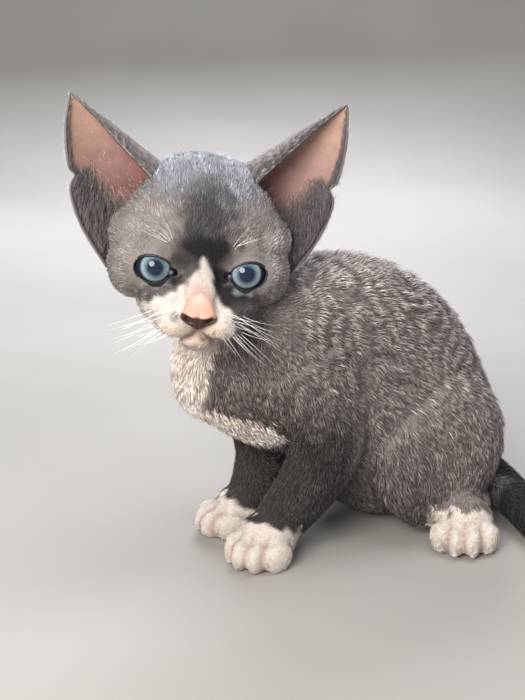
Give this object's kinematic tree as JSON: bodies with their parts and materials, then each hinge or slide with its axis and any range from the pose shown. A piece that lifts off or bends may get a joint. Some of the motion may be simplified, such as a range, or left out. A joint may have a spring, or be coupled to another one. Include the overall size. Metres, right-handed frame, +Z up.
{
  "type": "devon rex kitten",
  "caption": "Still life-size model of a sitting devon rex kitten with large ears, a short wavy coat and its head turned to its left.",
  "frame": {"origin": "on the floor, under the middle of the whole kitten's box, tail included", "axes": "+Z up, the body faces -Y, its left side is at +X; the head is turned to its left"},
  "size_m": [0.1492, 0.162, 0.1563],
  "materials": {
    "blue_coat": "short wavy blue-grey fur",
    "white_coat": "short creamy white fur",
    "nose": "moist pink nose leather",
    "ear_skin": "thin pink skin under fine down",
    "eye": "clear wet surface over a pale blue iris"
  },
  "bodies": {
    "root": {"head": "blue_coat", "nose": "nose", "eye_left": "eye", "eye_right": "eye", "ear_left": "ear_skin", "ear_right": "ear_skin", "neck": "blue_coat", "chest": "blue_coat", "abdomen": "blue_coat", "foreleg_left": "blue_coat", "foreleg_right": "blue_coat", "forepaw_left": "white_coat", "forepaw_right": "white_coat", "thigh_left": "blue_coat", "thigh_right": "blue_coat", "hindfoot_left": "white_coat", "hindfoot_right": "white_coat", "tail_base": "blue_coat", "tail_middle": "blue_coat", "tail_tip": "blue_coat"}
  },
  "joints": []
}
